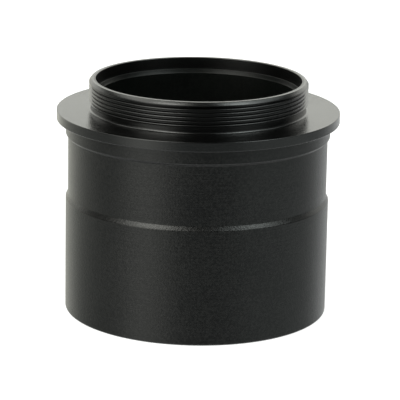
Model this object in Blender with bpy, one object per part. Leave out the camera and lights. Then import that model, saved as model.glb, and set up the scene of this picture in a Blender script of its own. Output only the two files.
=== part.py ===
"""Two-inch Barlow lens with a T2 camera thread.

The nose barrel slides into a two-inch focuser. The camera thread ring screws into its top
and carries a glare stop. The lens cell screws up into the nose thread and holds an
air-spaced negative doublet, a spacer, a gasket and a slotted retaining ring.
Metres, +Z up towards the camera, origin at the middle of the nose end.
"""
from math import atan2, ceil, cos, floor, hypot, pi, sin, sqrt, tau

import bmesh
import bpy

MM = 0.001
SEGMENTS = 48

# heights above the nose end
BARREL_TOP = 37.48 * MM
SHOULDER_LOW = 22.1 * MM
SHOULDER_HIGH = 22.9 * MM
BAND_LOW = 34.45 * MM
RING_SEAT = 37.5 * MM
CELL_SEAT = 12.0 * MM
CELL_LOW = 6.0 * MM
RETAINER_LOW = 6.4 * MM
GASKET_LOW = 8.6 * MM
FRONT_LENS_LOW = 9.1 * MM
SPACER_LOW = 16.75 * MM
REAR_LENS_LOW = 17.75 * MM
STOP_LOW = 33.5 * MM

# nose barrel
BARREL_R = 25.4 * MM
UNDERCUT_R = 24.95 * MM
BORE_R = 22.6 * MM
EDGE = 0.3 * MM
FINE_EDGE = 0.12 * MM

# camera thread ring, heights above its seat
FLANGE_R = 27.15 * MM
FLANGE_T = 1.8 * MM
SPIGOT_DROP = 6.0 * MM
SEAT_RECESS = 0.06 * MM
SEAT_RECESS_R = 25.5 * MM
COLLAR_H = 7.75 * MM
COLLAR_FOOT_R = 21.15 * MM
RELIEF_H = 1.1 * MM
LEAD_H = 0.66 * MM
LEAD_CHAMFER = 0.58 * MM
COLLAR_BORE_R = 19.72 * MM
LIP_R = 18.9 * MM
LIP_H = 1.8 * MM

# glare stop
STOP_R = 19.62 * MM
STOP_INNER_R = 19.0 * MM
STOP_H = 9.6 * MM
STOP_BEVEL = 0.8 * MM
STOP_APERTURE_R = 18.3 * MM

# lens cell and optics
CELL_H = 15.0 * MM
CELL_NOSE_R = 22.2 * MM
CELL_APERTURE_R = 17.0 * MM
LENS_BORE_R = 18.15 * MM
LENS_R = 18.0 * MM
LENS_CLEAR_R = 17.6 * MM
FRONT_LENS_EDGE = 7.5 * MM
REAR_LENS_EDGE = 1.8 * MM
OUTER_CURVE = 75.0 * MM
INNER_CURVE = 47.4 * MM
CAMERA_CURVE = 206.0 * MM
SPACER_T = 0.85 * MM
GASKET_T = 0.4 * MM
RETAINER_H = 2.1 * MM
RETAINER_INNER_R = 16.9 * MM
SLOT_W = 1.6 * MM
SLOT_D = 0.8 * MM

# threads: pitch, male crest and root radii, and how much wider the female thread is cut
FINE_PITCH = 0.75 * MM
RETAINER_PITCH = 0.5 * MM
CAMERA_THREAD = (FINE_PITCH, 21.0 * MM, 20.6 * MM)
RING_THREAD = (FINE_PITCH, 23.4 * MM, 22.95 * MM)
NOSE_THREAD = (FINE_PITCH, 23.92 * MM, 23.47 * MM)
RETAINER_THREAD = (RETAINER_PITCH, 18.72 * MM, 18.4 * MM)
FINE_PLAY = 0.15 * MM
RETAINER_PLAY = 0.12 * MM


def clear_scene():
    for obj in list(bpy.data.objects):
        bpy.data.objects.remove(obj, do_unlink=True)


def make_material(name, colour, metallic, roughness, transmission=0.0, ior=1.5):
    mat = bpy.data.materials.new(name)
    mat.use_nodes = True
    shader = mat.node_tree.nodes["Principled BSDF"]
    shader.inputs["Base Color"].default_value = (*colour, 1.0)
    shader.inputs["Metallic"].default_value = metallic
    shader.inputs["Roughness"].default_value = roughness
    shader.inputs["Transmission Weight"].default_value = transmission
    shader.inputs["IOR"].default_value = ior
    mat.diffuse_color = (*colour, 1.0)
    return mat


def place(name, bm, height, mat):
    """Closes the mesh's normals, makes the object and stands it at its height."""
    bmesh.ops.recalc_face_normals(bm, faces=bm.faces[:])
    mesh = bpy.data.meshes.new(name)
    bm.to_mesh(mesh)
    bm.free()
    mesh.shade_smooth()
    mesh.set_sharp_from_angle(angle=pi / 6)
    mesh.materials.append(mat)
    obj = bpy.data.objects.new(name, mesh)
    obj.location = (0.0, 0.0, height)
    bpy.context.collection.objects.link(obj)
    return obj


def spin_run(bm, points):
    """Turns an open run of (radius, height) points once round the Z axis."""
    verts = [bm.verts.new((r, 0.0, z)) for r, z in points]
    edges = [bm.edges.new(pair) for pair in zip(verts, verts[1:])]
    bmesh.ops.spin(
        bm,
        geom=verts + edges,
        cent=(0.0, 0.0, 0.0),
        axis=(0.0, 0.0, 1.0),
        angle=tau,
        steps=SEGMENTS,
        use_merge=True,
    )


def ring_at(bm, point):
    """The ring of vertices that a profile point became, in order round the axis."""
    r, z = point
    near = 1e-6
    found = [v for v in bm.verts if abs(v.co.z - z) < near and abs(hypot(*v.co.xy) - r) < near]
    return sorted(found, key=lambda v: round(atan2(v.co.y, v.co.x) % tau, 4) % 6.2831)


def thread_radius(z, below, above, target):
    """The radius aimed for, reached at 45 degrees from the plain ring at each end."""
    for r, height in (below, above):
        reach = abs(z - height)
        target = min(max(target, r - reach), r + reach)
    return target


def thread_rows(column, below, above, pitch, form, rings):
    """One column of thread vertices. Rows beyond either end fall on that end's ring."""
    low_vert, high_vert, new_vert = rings
    root, crest, datum = form
    near = 0.1 * pitch
    start = datum + pitch * (floor((below[1] - datum) / pitch) - 1)
    turns = ceil((above[1] - start) / pitch) + 1
    rows = []
    for level in range(2 * turns + 1):
        z = start + pitch * (level / 2 + column / SEGMENTS)
        if z < below[1] + near:
            rows.append(low_vert)
        elif z > above[1] - near:
            rows.append(high_vert)
        else:
            r = thread_radius(z, below, above, crest if level % 2 else root)
            rows.append(new_vert(r, z))
    return rows


def cut_thread(bm, below, above, pitch, form):
    """A right-hand thread between two plain rings. Form is its root, its crest and a root height."""
    low_ring, high_ring = ring_at(bm, below), ring_at(bm, above)
    columns = []
    for column in range(SEGMENTS):
        angle = tau * column / SEGMENTS

        def new_vert(r, z, x=cos(angle), y=sin(angle)):
            return bm.verts.new((r * x, r * y, z))

        ends = (low_ring[column], high_ring[column], new_vert)
        columns.append(thread_rows(column, below, above, pitch, form, ends))
    for column in range(SEGMENTS):
        left, right = columns[column], columns[(column + 1) % SEGMENTS]
        if column == SEGMENTS - 1:
            right = right[2:]
        for level in range(min(len(left), len(right)) - 1):
            corners = (left[level], right[level], right[level + 1], left[level + 1])
            unique = list(dict.fromkeys(corners))
            if len(unique) > 2:
                bm.faces.new(unique)


def turned_body(runs, threads):
    """A closed turned body from runs of profile points, joined end to end by its threads."""
    bm = bmesh.new()
    for run in runs:
        spin_run(bm, run)
    for index, (pitch, form) in enumerate(threads):
        one = runs[index][-1]
        other = runs[(index + 1) % len(runs)][0]
        below, above = sorted((one, other), key=lambda point: point[1])
        cut_thread(bm, below, above, pitch, form)
    return bm


def closed_ring(points):
    """A plain turned ring, from the corners of its section."""
    bm = bmesh.new()
    spin_run(bm, points + points[:1])
    bmesh.ops.remove_doubles(bm, verts=bm.verts[:], dist=1e-7)
    return bm


def sag(curve, r):
    return curve - sqrt(curve * curve - r * r)


def nose_barrel():
    pitch, crest, root = NOSE_THREAD
    nose_major = crest + FINE_PLAY
    ring_major = RING_THREAD[1] + FINE_PLAY
    outside = [
        (nose_major, 0.6 * MM),
        (nose_major + 0.45 * MM, 0.0),
        (BARREL_R - EDGE, 0.0),
        (BARREL_R, EDGE),
        (BARREL_R, SHOULDER_LOW),
        (UNDERCUT_R, SHOULDER_HIGH),
        (UNDERCUT_R, BAND_LOW),
        (BARREL_R - FINE_EDGE, BAND_LOW),
        (BARREL_R, BAND_LOW + FINE_EDGE),
        (BARREL_R, BARREL_TOP - FINE_EDGE),
        (BARREL_R - FINE_EDGE, BARREL_TOP),
        (ring_major + 0.3 * MM, BARREL_TOP),
        (ring_major, BARREL_TOP - 0.3 * MM),
    ]
    bore = [
        (ring_major, 31.0 * MM),
        (BORE_R, 31.0 * MM),
        (BORE_R, CELL_SEAT),
        (nose_major, CELL_SEAT),
        (nose_major, CELL_SEAT - 0.5 * MM),
    ]
    threads = [
        (FINE_PITCH, (ring_major, RING_THREAD[2] + FINE_PLAY, FINE_PITCH / 2)),
        (pitch, (nose_major, root + FINE_PLAY, pitch / 2)),
    ]
    bm = turned_body([outside, bore], threads)
    return place("nose_barrel", bm, 0.0, make_material("barrel_black", (0.022, 0.023, 0.024), 0.75, 0.36))


def camera_thread_ring():
    pitch, crest, root = CAMERA_THREAD
    spigot_root = RING_THREAD[2]
    bottom = -SPIGOT_DROP
    inside = [
        (crest, COLLAR_H - LEAD_H),
        (crest, COLLAR_H - LEAD_CHAMFER),
        (crest - LEAD_CHAMFER, COLLAR_H),
        (COLLAR_BORE_R + FINE_EDGE, COLLAR_H),
        (COLLAR_BORE_R, COLLAR_H - FINE_EDGE),
        (COLLAR_BORE_R, bottom + LIP_H),
        (LIP_R, bottom + LIP_H),
        (LIP_R, bottom + EDGE),
        (LIP_R + EDGE, bottom),
        (spigot_root - EDGE, bottom),
        (spigot_root, bottom + EDGE),
    ]
    flange = [
        (spigot_root, -0.5 * MM),
        (spigot_root, SEAT_RECESS),
        (SEAT_RECESS_R, SEAT_RECESS),
        (SEAT_RECESS_R + SEAT_RECESS, 0.0),
        (FLANGE_R - FINE_EDGE, 0.0),
        (FLANGE_R, FINE_EDGE),
        (FLANGE_R, FLANGE_T - FINE_EDGE),
        (FLANGE_R - FINE_EDGE, FLANGE_T),
        (COLLAR_FOOT_R, FLANGE_T),
        (root + 0.05 * MM, FLANGE_T + 0.3 * MM),
        (root, FLANGE_T + 0.5 * MM),
        (root, FLANGE_T + RELIEF_H),
    ]
    threads = [
        (FINE_PITCH, (spigot_root, RING_THREAD[1], -RING_SEAT)),
        (pitch, (root, crest, -RING_SEAT)),
    ]
    bm = turned_body([inside, flange], threads)
    mat = make_material("ring_black", (0.024, 0.024, 0.025), 0.75, 0.34)
    return place("camera_thread_ring", bm, RING_SEAT, mat)


def glare_stop():
    section = [
        (STOP_R, 0.0),
        (STOP_R, STOP_H),
        (STOP_INNER_R, STOP_H - STOP_BEVEL),
        (STOP_INNER_R, 1.6 * MM),
        (STOP_APERTURE_R, 0.5 * MM),
        (STOP_APERTURE_R, 0.0),
    ]
    mat = make_material("stop_matt_black", (0.012, 0.012, 0.012), 0.1, 0.7)
    return place("glare_stop", closed_ring(section), STOP_LOW, mat)


def cut_slots(body, inner_r, outer_r, floor, width, depth):
    """Two spanner slots across the lower face, opposite each other on X."""
    for side in (-1, 1):
        bm = bmesh.new()
        bmesh.ops.create_cube(bm, size=1.0)
        bmesh.ops.scale(bm, vec=(outer_r - inner_r, width, 2 * depth), verts=bm.verts[:])
        cutter = bpy.data.objects.new(f"{body.name}_slot_cutter", bpy.data.meshes.new("slot_cutter"))
        bm.to_mesh(cutter.data)
        bm.free()
        cutter.location = (side * (inner_r + outer_r) / 2, 0.0, floor)
        cutter.hide_render = True
        cutter.display_type = "WIRE"
        bpy.context.collection.objects.link(cutter)
        cut = body.modifiers.new("spanner_slot", "BOOLEAN")
        cut.operation = "DIFFERENCE"
        cut.solver = "EXACT"
        cut.object = cutter


def lens_cell():
    pitch, crest, root = NOSE_THREAD
    female_major = RETAINER_THREAD[1] + RETAINER_PLAY
    seat = CELL_SEAT - CELL_LOW - 0.1 * MM
    lip = CELL_H - 1.25 * MM
    outside = [
        (root, seat - 0.6 * MM),
        (root, seat),
        (CELL_NOSE_R, seat),
        (CELL_NOSE_R, CELL_H - EDGE),
        (CELL_NOSE_R - EDGE, CELL_H),
        (CELL_APERTURE_R + EDGE, CELL_H),
        (CELL_APERTURE_R, CELL_H - EDGE),
        (CELL_APERTURE_R, lip),
        (LENS_BORE_R, lip),
        (LENS_BORE_R, 2.95 * MM),
        (female_major, 2.95 * MM),
        (female_major, 2.85 * MM),
    ]
    face = [
        (female_major, 0.3 * MM),
        (female_major + EDGE, 0.0),
        (root - EDGE, 0.0),
        (root, EDGE),
    ]
    threads = [
        (RETAINER_PITCH, (female_major, RETAINER_THREAD[2] + RETAINER_PLAY, RETAINER_PITCH / 2 - CELL_LOW)),
        (pitch, (root, crest, -CELL_LOW)),
    ]
    bm = turned_body([outside, face], threads)
    mat = make_material("cell_black", (0.02, 0.02, 0.021), 0.7, 0.4)
    body = place("lens_cell", bm, CELL_LOW, mat)
    cut_slots(body, 20.0 * MM, 22.0 * MM, CELL_LOW, SLOT_W, SLOT_D)
    return body


def retaining_ring():
    pitch, crest, root = RETAINER_THREAD
    section = [
        (root, RETAINER_H - 0.15 * MM),
        (root - 0.15 * MM, RETAINER_H),
        (RETAINER_INNER_R, RETAINER_H),
        (RETAINER_INNER_R, 0.2 * MM),
        (RETAINER_INNER_R + 0.2 * MM, 0.0),
        (root - 0.15 * MM, 0.0),
        (root, 0.15 * MM),
    ]
    bm = turned_body([section], [(pitch, (root, crest, -RETAINER_LOW))])
    mat = make_material("retainer_black", (0.02, 0.02, 0.021), 0.7, 0.42)
    body = place("retaining_ring", bm, RETAINER_LOW, mat)
    cut_slots(body, 16.0 * MM, 20.0 * MM, RETAINER_LOW, 1.4 * MM, SLOT_D)
    return body


def curved_face(curve, height, outward, steps=4):
    """Profile points of a lens face from its rim to the axis. Outward is +1 when it bulges up."""
    rim = sag(curve, LENS_CLEAR_R)
    points = []
    for step in range(steps + 1):
        r = LENS_CLEAR_R * (1 - step / steps)
        points.append((r, height + outward * (rim - sag(curve, r))))
    return points


def lens_body(edge, low_face, high_face):
    """A lens from its edge thickness and its two curved faces, each (curve, bulge direction)."""
    low = curved_face(low_face[0], 0.0, low_face[1])
    high = curved_face(high_face[0], edge, high_face[1])
    profile = low[::-1] + [(LENS_R, 0.0), (LENS_R, edge)] + high
    bm = bmesh.new()
    spin_run(bm, profile)
    bmesh.ops.remove_doubles(bm, verts=bm.verts[:], dist=1e-7)
    return bm


def front_lens():
    mat = make_material("crown_glass", (0.86, 0.95, 0.9), 0.0, 0.02, 1.0, 1.517)
    bm = lens_body(FRONT_LENS_EDGE, (OUTER_CURVE, 1), (INNER_CURVE, -1))
    return place("front_lens", bm, FRONT_LENS_LOW, mat)


def rear_lens():
    mat = make_material("flint_glass", (0.88, 0.93, 0.96), 0.0, 0.02, 1.0, 1.62)
    bm = lens_body(REAR_LENS_EDGE, (INNER_CURVE, -1), (CAMERA_CURVE, -1))
    return place("rear_lens", bm, REAR_LENS_LOW, mat)


def lens_spacer():
    section = [
        (LENS_R, 0.0),
        (LENS_R, SPACER_T),
        (17.4 * MM, SPACER_T),
        (17.4 * MM, 0.0),
    ]
    mat = make_material("spacer_black", (0.02, 0.02, 0.02), 0.6, 0.5)
    return place("lens_spacer", closed_ring(section), SPACER_LOW, mat)


def lens_gasket():
    section = [
        (LENS_R, 0.0),
        (LENS_R, GASKET_T),
        (RETAINER_INNER_R, GASKET_T),
        (RETAINER_INNER_R, 0.0),
    ]
    mat = make_material("gasket_nylon", (0.05, 0.05, 0.05), 0.0, 0.6)
    return place("lens_gasket", closed_ring(section), GASKET_LOW, mat)


def main():
    clear_scene()
    nose_barrel()
    camera_thread_ring()
    glare_stop()
    lens_cell()
    front_lens()
    lens_spacer()
    rear_lens()
    lens_gasket()
    retaining_ring()


main()
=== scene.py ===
"""Two-inch Barlow lens with a T2 camera thread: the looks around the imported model.

Every piece is turned on the Z axis from a profile of (radius, height) points in
millimetres, with real helical threads between its plain runs.
"""
from math import ceil, cos, floor, hypot, pi, radians, sin, sqrt, tau

import bmesh
import bpy
from mathutils import Matrix, Vector


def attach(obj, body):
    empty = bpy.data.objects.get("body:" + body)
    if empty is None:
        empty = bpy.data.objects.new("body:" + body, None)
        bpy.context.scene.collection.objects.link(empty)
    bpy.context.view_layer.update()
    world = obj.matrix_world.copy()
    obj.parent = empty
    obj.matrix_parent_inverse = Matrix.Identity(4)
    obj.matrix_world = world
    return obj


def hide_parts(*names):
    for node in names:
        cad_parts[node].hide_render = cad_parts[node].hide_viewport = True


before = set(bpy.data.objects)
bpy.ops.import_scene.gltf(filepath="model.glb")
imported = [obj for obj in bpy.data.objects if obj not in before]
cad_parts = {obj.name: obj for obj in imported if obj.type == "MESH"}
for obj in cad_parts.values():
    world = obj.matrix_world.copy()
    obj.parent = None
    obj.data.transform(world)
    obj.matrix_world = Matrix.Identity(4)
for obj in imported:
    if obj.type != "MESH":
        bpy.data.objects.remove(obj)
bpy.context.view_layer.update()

MM = 0.001
SEGMENTS = 192

# millimetres: the thread pitches, the lenses' radius and the radius of their clear faces
PITCH = 0.75
RETAINER_PITCH = 0.5
LENS_RADIUS = 18.0
LENS_CLEAR = 17.6

# levels of one thread turn: (share of the pitch, share of the depth from root to crest)
V_FORM = ((-0.1, 0.0), (0.1, 0.0), (0.42, 1.0), (0.58, 1.0))
CAMERA_FORM = (
    (-0.1, 0.0), (0.06, 0.0), (0.37, 0.93), (0.42, 1.0), (0.54, 1.0), (0.6, 0.94), (0.64, 0.84),
)

# noise scales of the anodised finish, its depth in metres, and the roughness of a matt bore
RING_SCALE = 9000.0
GRAIN_SCALE = 2800.0
SPECKLE_SCALE = 2200.0
CLOUD_SCALE = 90.0
GRAIN_DEPTH = 0.0002
MATT_BORE = 0.3

SCENE = bpy.context.scene


# ---------------------------------------------------------------- turned shapes

def arc(centre, radius, start, end, steps):
    """Points along part of a circle, from one angle to another in degrees."""
    points = []
    for step in range(steps + 1):
        a = radians(start + (end - start) * step / steps)
        points.append((centre[0] + radius * cos(a), centre[1] + radius * sin(a)))
    return points


def ring_verts(bm, r, z):
    """A ring of vertices, or one vertex taken all round where the profile meets the axis."""
    if r < 1e-6:
        return [bm.verts.new((0.0, 0.0, z * MM))] * SEGMENTS
    out = []
    for i in range(SEGMENTS):
        a = tau * i / SEGMENTS
        out.append(bm.verts.new((r * MM * cos(a), r * MM * sin(a), z * MM)))
    return out


def add_face(bm, corners):
    """A face through the corners that differ, or none if fewer than three do."""
    unique = list(dict.fromkeys(corners))
    if len(unique) > 2:
        bm.faces.new(unique)


def join_rings(bm, low, high):
    """A band of faces between two rings."""
    count = len(low)
    for i in range(count):
        j = (i + 1) % count
        add_face(bm, (low[i], low[j], high[j], high[i]))


class Thread:
    """A right-hand thread that takes the place of one upright stretch of a profile."""

    def __init__(self, pitch, root, crest, datum, form=V_FORM):
        self.pitch = pitch
        self.root = root
        self.crest = crest
        self.datum = datum
        self.form = form

    def radius(self, z, ends, share):
        """The thread's own radius, reached at 45 degrees from the plain ring at each end."""
        r = self.root + (self.crest - self.root) * share
        for plain, height in ends:
            reach = abs(z - height)
            r = min(max(r, plain - reach), plain + reach)
        return r

    def column(self, bm, angle, ends, rings):
        """One column of vertices. Rows beyond either end fall on that end's ring."""
        (_, low), (_, high) = ends
        near = 0.03 * self.pitch
        start = self.datum + self.pitch * (floor((low - self.datum) / self.pitch) - 1)
        rows = []
        for turns in range(ceil((high - start) / self.pitch) + 2):
            for phase, share in self.form:
                z = start + self.pitch * (turns + phase + angle / tau)
                if z < low + near:
                    rows.append(rings[0])
                elif z > high - near:
                    rows.append(rings[1])
                else:
                    r = self.radius(z, ends, share)
                    rows.append(bm.verts.new((r * MM * cos(angle), r * MM * sin(angle), z * MM)))
        return rows

    def build(self, bm, low, high, ends):
        """Joins the low ring to the high one. Ends are their (radius, height) points."""
        count = len(low)
        columns = [self.column(bm, tau * i / count, ends, (low[i], high[i])) for i in range(count)]
        for i in range(count):
            left, right = columns[i], columns[(i + 1) % count]
            if i == count - 1:
                right = right[len(self.form):]
            for k in range(min(len(left), len(right)) - 1):
                add_face(bm, (left[k], right[k], right[k + 1], left[k + 1]))


def held(profile, inset=0.12, long_run=0.6):
    """Adds a point near each end of every long plain run, which keeps its shading flat."""
    out = []
    for a, b in zip(profile, profile[1:] + profile[:1]):
        out.append(a)
        if isinstance(a, Thread) or isinstance(b, Thread):
            continue
        run = hypot(b[0] - a[0], b[1] - a[1])
        if run > long_run:
            for share in (inset / run, 1 - inset / run):
                out.append((a[0] + (b[0] - a[0]) * share, a[1] + (b[1] - a[1]) * share))
    return out


def turn(profile, closed=True):
    """A bmesh turned from profile points. A Thread among them threads the stretch it stands in."""
    if closed:
        profile = held(profile)
    bm = bmesh.new()
    points = [p for p in profile if not isinstance(p, Thread)]
    rings = [ring_verts(bm, r, z) for r, z in points]
    threads = {}
    index = -1
    for item in profile:
        if isinstance(item, Thread):
            threads[index] = item
        else:
            index += 1
    count = len(points)
    for i in range(count if closed else count - 1):
        j = (i + 1) % count
        low, high = (i, j) if points[i][1] < points[j][1] else (j, i)
        if i in threads:
            threads[i].build(bm, rings[low], rings[high], (points[low], points[high]))
        else:
            join_rings(bm, rings[i], rings[j])
    bmesh.ops.recalc_face_normals(bm, faces=bm.faces[:])
    return bm


def finish_piece(name, bm, material, body, nodes, sharp=28):
    """Makes the object that stands for the nodes and rides on their body."""
    mesh = bpy.data.meshes.new(name)
    bm.to_mesh(mesh)
    bm.free()
    mesh.shade_smooth()
    mesh.set_sharp_from_angle(angle=radians(sharp))
    mesh.materials.append(material)
    piece = bpy.data.objects.new(name, mesh)
    SCENE.collection.objects.link(piece)
    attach(piece, body)
    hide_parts(*nodes)


def box_cutter(centre, size):
    """A box to cut with, its centre and size in millimetres."""
    bm = bmesh.new()
    bmesh.ops.create_cube(bm, size=1.0)
    bmesh.ops.scale(bm, vec=Vector(size) * MM, verts=bm.verts[:])
    bmesh.ops.translate(bm, vec=Vector(centre) * MM, verts=bm.verts[:])
    mesh = bpy.data.meshes.new("cutter")
    bm.to_mesh(mesh)
    bm.free()
    cutter = bpy.data.objects.new("cutter", mesh)
    SCENE.collection.objects.link(cutter)
    return cutter


def cut_boxes(bm, boxes):
    """Cuts boxes, each (centre, size) in millimetres, out of a turned body."""
    work = bpy.data.meshes.new("work")
    bm.to_mesh(work)
    bm.free()
    body = bpy.data.objects.new("work", work)
    SCENE.collection.objects.link(body)
    cutters = []
    for centre, size in boxes:
        cutter = box_cutter(centre, size)
        cut = body.modifiers.new("cut", "BOOLEAN")
        cut.operation = "DIFFERENCE"
        cut.solver = "EXACT"
        cut.object = cutter
        cutters.append(cutter)
    bpy.context.view_layer.update()
    evaluated = body.evaluated_get(bpy.context.evaluated_depsgraph_get())
    out = bmesh.new()
    out.from_mesh(evaluated.to_mesh())
    for obj in [body, *cutters]:
        bpy.data.objects.remove(obj, do_unlink=True)
    return out


# ---------------------------------------------------------------- materials

class Tree:
    """A small helper to write a node tree in order."""

    def __init__(self, tree):
        self.tree = tree

    def add(self, kind, **settings):
        node = self.tree.nodes.new(kind)
        for key, value in settings.items():
            setattr(node, key, value)
        return node

    def link(self, out, into):
        self.tree.links.new(out, into)

    def math(self, operation, *items):
        """A Math node. Each item is a number or another node's output."""
        node = self.add("ShaderNodeMath", operation=operation)
        for socket, item in zip(node.inputs, items):
            if isinstance(item, (int, float)):
                socket.default_value = item
            else:
                self.link(item, socket)
        return node.outputs[0]


class Nodes(Tree):
    """A new material's node tree, with its Principled shader."""

    def __init__(self, name):
        self.material = bpy.data.materials.new(name)
        self.material.use_nodes = True
        super().__init__(self.material.node_tree)
        self.shader = self.tree.nodes["Principled BSDF"]

    def value(self, socket, number):
        self.shader.inputs[socket].default_value = number

    def ramp(self, source, stops):
        """The colour of source between two stops, each (level, colour)."""
        node = self.add("ShaderNodeValToRGB")
        for element, (place, colour) in zip(node.color_ramp.elements, stops):
            element.position = place
            element.color = (*colour, 1.0)
        self.link(source, node.inputs["Fac"])
        return node.outputs["Color"]

    def noise(self, vector, scale, detail=3.0, rough=0.55):
        node = self.add("ShaderNodeTexNoise")
        node.inputs["Scale"].default_value = scale
        node.inputs["Detail"].default_value = detail
        node.inputs["Roughness"].default_value = rough
        self.link(vector, node.inputs["Vector"])
        return node.outputs["Fac"]

    def turning_vector(self):
        """The object's coordinates, a vector of radius and height only, and the radius.
        Noise read from the vector makes turned rings."""
        coords = self.add("ShaderNodeTexCoord").outputs["Object"]
        split = self.add("ShaderNodeSeparateXYZ")
        self.link(coords, split.inputs[0])
        x, y, z = split.outputs
        squares = self.math("ADD", self.math("MULTIPLY", x, x), self.math("MULTIPLY", y, y))
        radius = self.math("SQRT", squares)
        join = self.add("ShaderNodeCombineXYZ")
        self.link(radius, join.inputs[0])
        self.link(z, join.inputs[2])
        return coords, join.outputs[0], radius

    def bump(self, height, strength, distance):
        node = self.add("ShaderNodeBump")
        node.inputs["Strength"].default_value = strength
        node.inputs["Distance"].default_value = distance
        self.link(height, node.inputs["Height"])
        self.link(node.outputs["Normal"], self.shader.inputs["Normal"])


def anodised(name, dark, light, roughness, ior=1.5, marks=0.2, bore=None):
    """Black anodised aluminium: turned rings, a fine satin blast and a little cloudiness.
    Inside a radius of bore, in metres, the metal is left matt."""
    n = Nodes(name)
    coords, turned, radius = n.turning_vector()
    rings = n.noise(turned, RING_SCALE, 2.0, 0.6)
    grain = n.noise(coords, GRAIN_SCALE, 2.0, 0.6)
    speckle = n.noise(coords, SPECKLE_SCALE, 2.0, 0.5)
    cloud = n.noise(coords, CLOUD_SCALE, 3.0, 0.5)
    mix = n.math("ADD", n.math("MULTIPLY", cloud, 0.5), n.math("MULTIPLY", rings, 0.5))
    tone = n.math("ADD", n.math("MULTIPLY", mix, 0.4), n.math("MULTIPLY", speckle, 0.6))
    n.link(n.ramp(tone, ((0.44, dark), (0.57, light))), n.shader.inputs["Base Color"])
    uneven = n.math("MULTIPLY", n.math("SUBTRACT", mix, 0.5), 0.1)
    level = roughness
    if bore:
        inside = n.math("LESS_THAN", radius, bore)
        level = n.math("MULTIPLY_ADD", inside, MATT_BORE - roughness, roughness)
    n.link(n.math("ADD", uneven, level), n.shader.inputs["Roughness"])
    height = n.math("ADD", n.math("MULTIPLY", rings, 0.45), n.math("MULTIPLY", grain, 0.55))
    n.bump(height, marks, GRAIN_DEPTH)
    n.value("IOR", ior)
    n.value("Metallic", 0.0)
    return n.material


def coated_glass(name, tint, ior):
    """Optical glass with a green anti-reflection coating and a faint unevenness."""
    n = Nodes(name)
    coords = n.add("ShaderNodeTexCoord").outputs["Object"]
    cloud = n.noise(coords, 60.0, 2.0)
    paler = tuple(min(1.0, c * 1.02) for c in tint)
    n.link(n.ramp(cloud, ((0.3, tint), (0.7, paler))), n.shader.inputs["Base Color"])
    n.link(n.math("MULTIPLY_ADD", cloud, 0.01, 0.004), n.shader.inputs["Roughness"])
    n.value("Transmission Weight", 1.0)
    n.value("IOR", ior)
    n.value("Specular Tint", (0.35, 1.0, 0.55, 1.0))
    return n.material


def moulded(name, colour, roughness):
    """Matt black nylon."""
    n = Nodes(name)
    coords = n.add("ShaderNodeTexCoord").outputs["Object"]
    cloud = n.noise(coords, 700.0, 4.0)
    paler = tuple(c * 1.5 for c in colour)
    n.link(n.ramp(cloud, ((0.3, colour), (0.7, paler))), n.shader.inputs["Base Color"])
    n.bump(cloud, 0.2, 0.00003)
    n.value("Roughness", roughness)
    return n.material


# ---------------------------------------------------------------- the pieces

def grooves(r, depth, low, high, pitch):
    """Downward-facing saw teeth along a bore, from high to low."""
    points = []
    count = int((high - low) / pitch)
    for i in range(count):
        top = high - i * pitch
        points += [(r, top), (r, top - 0.15 * pitch), (r + depth, top - 0.25 * pitch)]
    points.append((r, high - count * pitch))
    return points


def nose_barrel(material):
    barrel, undercut, bore = 25.4, 24.95, 22.6
    ring_major, ring_crest = 23.55, 23.1
    nose_major, nose_crest = 24.07, 23.62
    ring_stop, cell_stop, top = 31.0, 12.0, 37.48
    # up the outside, past the shoulder, the undercut and the band
    profile = [(nose_major, 0.6), (nose_major + 0.45, 0.0), (25.05, 0.0)]
    profile += arc((25.05, 0.35), 0.35, -90, 0, 5)[1:]
    profile += [(barrel, 22.08), (25.36, 22.16), (24.99, 22.86), (undercut, 22.95)]
    profile += [(undercut, 34.26), (24.96, 34.3), (25.0, 34.34), (25.03, 34.37), (25.31, 34.65)]
    profile += [(25.34, 34.68), (25.38, 34.74), (barrel, 34.8)]
    profile += arc((25.26, 37.34), 0.14, 0, 90, 4)
    # down the inside, past the camera ring's thread and the grooved bore to the nose thread
    profile += [(ring_major + 0.3, top), (ring_major, 37.18)]
    profile += [Thread(PITCH, ring_major, ring_crest, PITCH / 2)]
    profile += [(ring_major, ring_stop), (bore, ring_stop)]
    profile += grooves(bore, 0.25, 22.0, 30.4, 0.8)
    profile += [(bore, cell_stop), (nose_major, cell_stop), (nose_major, 11.5)]
    profile += [Thread(PITCH, nose_major, nose_crest, PITCH / 2)]
    bm = turn(profile)
    finish_piece("nose_barrel_body", bm, material, "barrel", ["nose_barrel"])


def camera_ring(material):
    root, crest, bore, lip = 20.6, 21.0, 19.72, 18.9
    joint_root, joint_crest = 22.95, 23.4
    bottom, seat, face, top = 31.5, 37.5, 39.3, 45.25
    # the camera thread, the chamfered rim and the bore
    profile = [(root, 40.4), Thread(PITCH, root, crest, 0.19, CAMERA_FORM), (crest, 44.6)]
    profile += arc((crest - 0.2, 44.62), 0.2, 0, 45, 3)
    profile += arc((20.44, 45.05), 0.2, 45, 90, 3)
    profile += arc((19.8, top - 0.08), 0.08, 90, 180, 3)
    profile += [(bore, 33.4), (19.62, 33.3), (19.0, 33.3), (lip, 33.2), (lip, 31.8)]
    # the joining thread, the seat and the flange with its fillet
    profile += [(19.2, bottom), (22.65, bottom), (joint_root, 31.8)]
    profile += [Thread(PITCH, joint_root, joint_crest, 0.0)]
    profile += [(joint_root, 37.0), (joint_root, seat + 0.06), (25.5, seat + 0.06), (25.56, seat)]
    profile += arc((27.02, seat + 0.13), 0.13, -90, 0, 4)
    profile += arc((27.07, 39.22), 0.08, 0, 90, 3)
    profile += [(20.95, face)]
    profile += arc((20.95, 39.65), 0.35, 270, 180, 5)[1:]
    bm = turn(profile)
    nodes = ["camera_thread_ring"]
    finish_piece("camera_ring_body", bm, material, "camera_ring", nodes, sharp=33)


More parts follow.
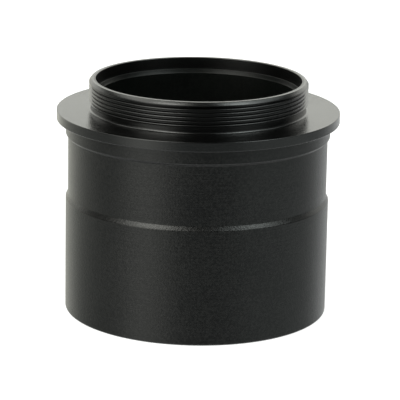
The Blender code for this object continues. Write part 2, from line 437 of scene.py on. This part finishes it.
def glare_stop(material):
    outer, inner, aperture, low = 19.62, 19.0, 18.3, 33.5
    profile = [(19.5, low), (outer, 33.62), (outer, 43.02)]
    profile += arc((19.56, 43.04), 0.06, 0, 90, 3)
    profile += arc((19.48, 42.92), 0.18, 90, 163, 5)
    profile += [(19.16, 42.46), (19.07, 42.34), (inner, 42.24)]
    profile += [(inner, 35.2), (aperture, 34.1), (aperture, low)]
    bm = turn(profile)
    finish_piece("glare_stop_body", bm, material, "stop", ["glare_stop"])


def lens_cell(material):
    root, crest, body = 23.47, 23.92, 22.2
    aperture, lens_bore = 17.0, 18.15
    female_major, female_crest = 18.84, 18.52
    low, thread_end, shoulder, lens_seat, top = 6.0, 8.95, 11.9, 19.75, 21.0
    profile = [(root, 11.3), (root, shoulder), (22.3, shoulder), (body, 12.0), (body, 20.7)]
    profile += [(21.9, top), (17.3, top), (aperture, 20.7), (aperture, lens_seat)]
    profile += [(lens_bore, lens_seat), (lens_bore, thread_end)]
    profile += [(female_major, thread_end), (female_major, 8.85)]
    profile += [Thread(RETAINER_PITCH, female_major, female_crest, RETAINER_PITCH / 2)]
    profile += [(female_major, 6.3), (19.14, low), (23.17, low), (root, 6.3)]
    profile += [Thread(PITCH, root, crest, 0.0)]
    slots = [((side * 21.0, 0, low), (2.0, 1.6, 1.6)) for side in (-1, 1)]
    bm = cut_boxes(turn(profile), slots)
    finish_piece("lens_cell_body", bm, material, "cell", ["lens_cell"])


def retaining_ring(material):
    root, crest, inner = 18.4, 18.72, 16.9
    low, top = 6.4, 8.5
    profile = [(root, 8.35), (root - 0.15, top), (17.0, top), (inner, 8.4), (inner, 6.7)]
    profile += [(17.2, low), (root - 0.15, low), (root, 6.55)]
    profile += [Thread(RETAINER_PITCH, root, crest, 0.0)]
    slots = [((side * 18.0, 0, low), (4.0, 1.4, 1.6)) for side in (-1, 1)]
    bm = cut_boxes(turn(profile), slots)
    nodes = ["retaining_ring"]
    finish_piece("retaining_ring_body", bm, material, "retainer", nodes)


def lens_face(curve, height, bulge, steps=18):
    """Points from the rim to the axis. Bulge is 1 when the face domes upward."""
    rim = curve - sqrt(curve * curve - LENS_CLEAR * LENS_CLEAR)
    points = []
    for step in range(steps + 1):
        r = LENS_CLEAR * (1 - step / steps)
        points.append((r, height + bulge * (rim - curve + sqrt(curve * curve - r * r))))
    return points


def lens(name, base, edge, low, high, material, node, slot):
    """A ground lens. Low and high are its faces, each (curve radius, bulge direction)."""
    bevel = 0.1
    bottom = lens_face(low[0], base, low[1])
    top = lens_face(high[0], base + edge, high[1])
    rim = [(LENS_RADIUS - bevel, base), (LENS_RADIUS, base + bevel)]
    rim += [(LENS_RADIUS, base + edge - bevel), (LENS_RADIUS - bevel, base + edge)]
    bm = turn(bottom[::-1] + rim + top, closed=False)
    finish_piece(name, bm, material, "optics", [node], sharp=35)


def washer(inner, low, high, bevel):
    """A flat ring as wide as the lenses, with its edges bevelled."""
    outer = LENS_RADIUS
    profile = [(inner, low + bevel), (inner + bevel, low), (outer - bevel, low)]
    profile += [(outer, low + bevel), (outer, high - bevel), (outer - bevel, high)]
    profile += [(inner + bevel, high), (inner, high - bevel)]
    return turn(profile)


def small_rings(spacer_material, gasket_material):
    spacer = washer(17.4, 16.75, 17.6, 0.05)
    nodes = ["lens_spacer"]
    finish_piece("lens_spacer_ring", spacer, spacer_material, "optics", nodes)
    gasket = washer(16.9, 8.6, 9.0, 0.06)
    nodes = ["lens_gasket"]
    finish_piece("lens_gasket_washer", gasket, gasket_material, "gasket", nodes)


# ---------------------------------------------------------------- studio

def make_camera():
    """The camera looks along +Y and a little down, from almost half a metre away."""
    elevation, roll, distance = radians(15.18), radians(1.015), 0.449
    target = Vector((0.0, 0.0, 0.022))
    data = bpy.data.cameras.new("camera")
    data.sensor_width = 36.0
    data.lens = 208.6
    data.shift_x = 0.0078
    data.shift_y = -0.0101
    data.clip_start = 0.01
    data.clip_end = 20.0
    camera = bpy.data.objects.new("camera", data)
    back = Vector((0.0, -cos(elevation), sin(elevation)))
    camera.matrix_world = (
        Matrix.Translation(target + back * distance)
        @ back.to_track_quat("Z", "Y").to_matrix().to_4x4()
        @ Matrix.Rotation(roll, 4, "Z")
    )
    SCENE.collection.objects.link(camera)
    SCENE.camera = camera


def make_floor():
    """A wide sheet of pale paper, just under the nose end."""
    half_width, drop = 3.0, 0.00005
    bm = bmesh.new()
    bmesh.ops.create_grid(bm, x_segments=8, y_segments=8, size=half_width)
    mesh = bpy.data.meshes.new("floor")
    bm.to_mesh(mesh)
    bm.free()
    floor = bpy.data.objects.new("floor", mesh)
    floor.location = (0.0, 0.0, -drop)
    n = Nodes("floor_paper")
    n.value("Base Color", (0.45, 0.45, 0.45, 1.0))
    n.value("Roughness", 1.0)
    n.value("Specular IOR Level", 0.0)
    n.value("Emission Color", (1.0, 1.0, 1.0, 1.0))
    n.value("Emission Strength", 0.8)
    mesh.materials.append(n.material)
    floor.visible_glossy = False
    SCENE.collection.objects.link(floor)


# The studio round the object. Azimuths run from the camera to its right, in degrees. Each
# light is (azimuth, half width, soft edge, elevation, half height, soft edge, brightness, tint).
NEUTRAL = (1.0, 1.0, 1.0)
WARM = (1.02, 1.0, 0.86)
CREAM = (1.0, 1.01, 0.94)
COOL = (0.94, 1.02, 0.99)
LIGHTS = {
    "room": (0, 180, 1, 0, 90, 1, 0.04, COOL),
    "floor": (0, 180, 1, -50, 46, 10, 0.27, COOL),
    "floor_near": (0, 180, 1, -90, 42, 12, 0.8, NEUTRAL),
    "back_left": (-162, 24, 20, -42, 40, 8, 0.55, WARM),
    "back_right": (160, 22, 20, -42, 40, 8, 0.42, NEUTRAL),
    "back_low": (180, 35, 15, -46, 22, 8, 0.7, NEUTRAL),
    "haze_left": (-140, 30, 20, -5, 6, 8, 0.9, WARM),
    "haze_right": (145, 20, 20, -5, 6, 8, 0.5, NEUTRAL),
    "side_left": (-100, 25, 20, -20, 24, 10, 0.12, WARM),
    "side_right": (125, 25, 25, -20, 24, 10, 0.15, NEUTRAL),
    "window_left": (-44, 17, 18, -22, 22, 10, 0.8, CREAM),
    "window_right": (70, 32, 12, -22, 22, 10, 0.2, COOL),
    "middle_left": (-47, 18, 12, 13, 14, 8, 1.9, CREAM),
    "middle_right": (50, 16, 12, 13, 14, 8, 0.5, COOL),
    "ceiling_left": (-45, 21, 10, 48, 20, 8, 5.6, CREAM),
    "ceiling_right": (60, 17, 10, 48, 20, 8, 4.8, COOL),
    "upper_left": (-115, 40, 15, 57, 16, 8, 2.4, CREAM),
    "upper_right": (106, 34, 15, 57, 16, 8, 1.5, COOL),
    "backdrop": (180, 60, 15, 15, 11, 5, 1.45, CREAM),
}


def soft(studio, distance, half, edge):
    """1 inside half, falling smoothly to 0 over the soft edge."""
    node = studio.add("ShaderNodeMapRange", interpolation_type="SMOOTHSTEP")
    node.inputs["From Min"].default_value = half + edge
    node.inputs["From Max"].default_value = half - edge
    studio.link(distance, node.inputs["Value"])
    return node.outputs["Result"]


def light_mask(studio, azimuth, elevation, across, upright):
    """Where a light stands. Across and upright are each (middle, half size, soft edge)."""
    middle, half, edge = upright
    off = studio.math("ABSOLUTE", studio.math("SUBTRACT", elevation, middle))
    up = soft(studio, off, half, edge)
    middle, half, edge = across
    if half >= 180:
        return up
    off = studio.math("ABSOLUTE", studio.math("SUBTRACT", azimuth, middle))
    off = studio.math("MINIMUM", off, studio.math("ABSOLUTE", studio.math("SUBTRACT", 360.0, off)))
    return studio.math("MULTIPLY", soft(studio, off, half, edge), up)


def add_lights(studio):
    """The sum of all the lights, in the direction that is looked at."""
    split = studio.add("ShaderNodeSeparateXYZ")
    studio.link(studio.add("ShaderNodeTexCoord").outputs["Generated"], split.inputs[0])
    x, y, z = split.outputs
    angle = studio.math("ARCTAN2", x, studio.math("MULTIPLY", y, -1.0))
    azimuth = studio.math("MULTIPLY", angle, 180 / pi)
    elevation = studio.math("MULTIPLY", studio.math("ARCSINE", z), 180 / pi)
    total = None
    for *spans, bright, tint in LIGHTS.values():
        mask = light_mask(studio, azimuth, elevation, spans[:3], spans[3:])
        add = studio.add("ShaderNodeVectorMath", operation="MULTIPLY_ADD")
        studio.link(mask, add.inputs[0])
        add.inputs[1].default_value = Vector(tint) * bright
        if total is None:
            add.inputs[2].default_value = (0.0, 0.0, 0.0)
        else:
            studio.link(total, add.inputs[2])
        total = add.outputs[0]
    return total


def make_world():
    """The studio lights. The paper sweep behind the object is plain white to the eye."""
    world = bpy.data.worlds.new("studio")
    world.use_nodes = True
    SCENE.world = world
    studio = Tree(world.node_tree)
    total = add_lights(studio)
    plain = studio.add("ShaderNodeMix", data_type="RGBA")
    studio.link(studio.add("ShaderNodeLightPath").outputs["Is Camera Ray"], plain.inputs[0])
    studio.link(total, plain.inputs[6])
    plain.inputs[7].default_value = (1.0, 1.0, 1.0, 1.0)
    studio.link(plain.outputs[2], studio.tree.nodes["Background"].inputs["Color"])


def build():
    barrel_light, ring_light = (0.0055, 0.0055, 0.0052), (0.0016, 0.0016, 0.0015)
    stop_dark, stop_light = (0.002, 0.0025, 0.0022), (0.0045, 0.0052, 0.0047)
    barrel_black = anodised("barrel_anodised", (0.0004,) * 3, barrel_light, 0.3, marks=0.4)
    ring_black = anodised("ring_anodised", (0.0002,) * 3, ring_light, 0.22, 1.6, bore=0.0201)
    stop_black = anodised("stop_matt", stop_dark, stop_light, 0.38, 1.26, 0.1)
    cell_black = anodised("cell_anodised", (0.002,) * 3, (0.004,) * 3, 0.36)
    nose_barrel(barrel_black)
    camera_ring(ring_black)
    glare_stop(stop_black)
    lens_cell(cell_black)
    retaining_ring(cell_black)
    crown = coated_glass("crown_glass_coated", (0.9, 0.97, 0.93), 1.517)
    flint = coated_glass("flint_glass_coated", (0.93, 0.96, 0.97), 1.62)
    faces = (75.0, 1), (47.4, -1)
    lens("front_lens_glass", 9.1, 7.5, *faces, crown, "front_lens", "crown_glass")
    faces = (47.4, -1), (206.0, -1)
    lens("rear_lens_glass", 17.75, 1.8, *faces, flint, "rear_lens", "flint_glass")
    small_rings(cell_black, moulded("gasket_nylon_matt", (0.02,) * 3, 0.6))


SCENE.view_settings.view_transform = "Standard"
make_camera()
make_floor()
make_world()
build()
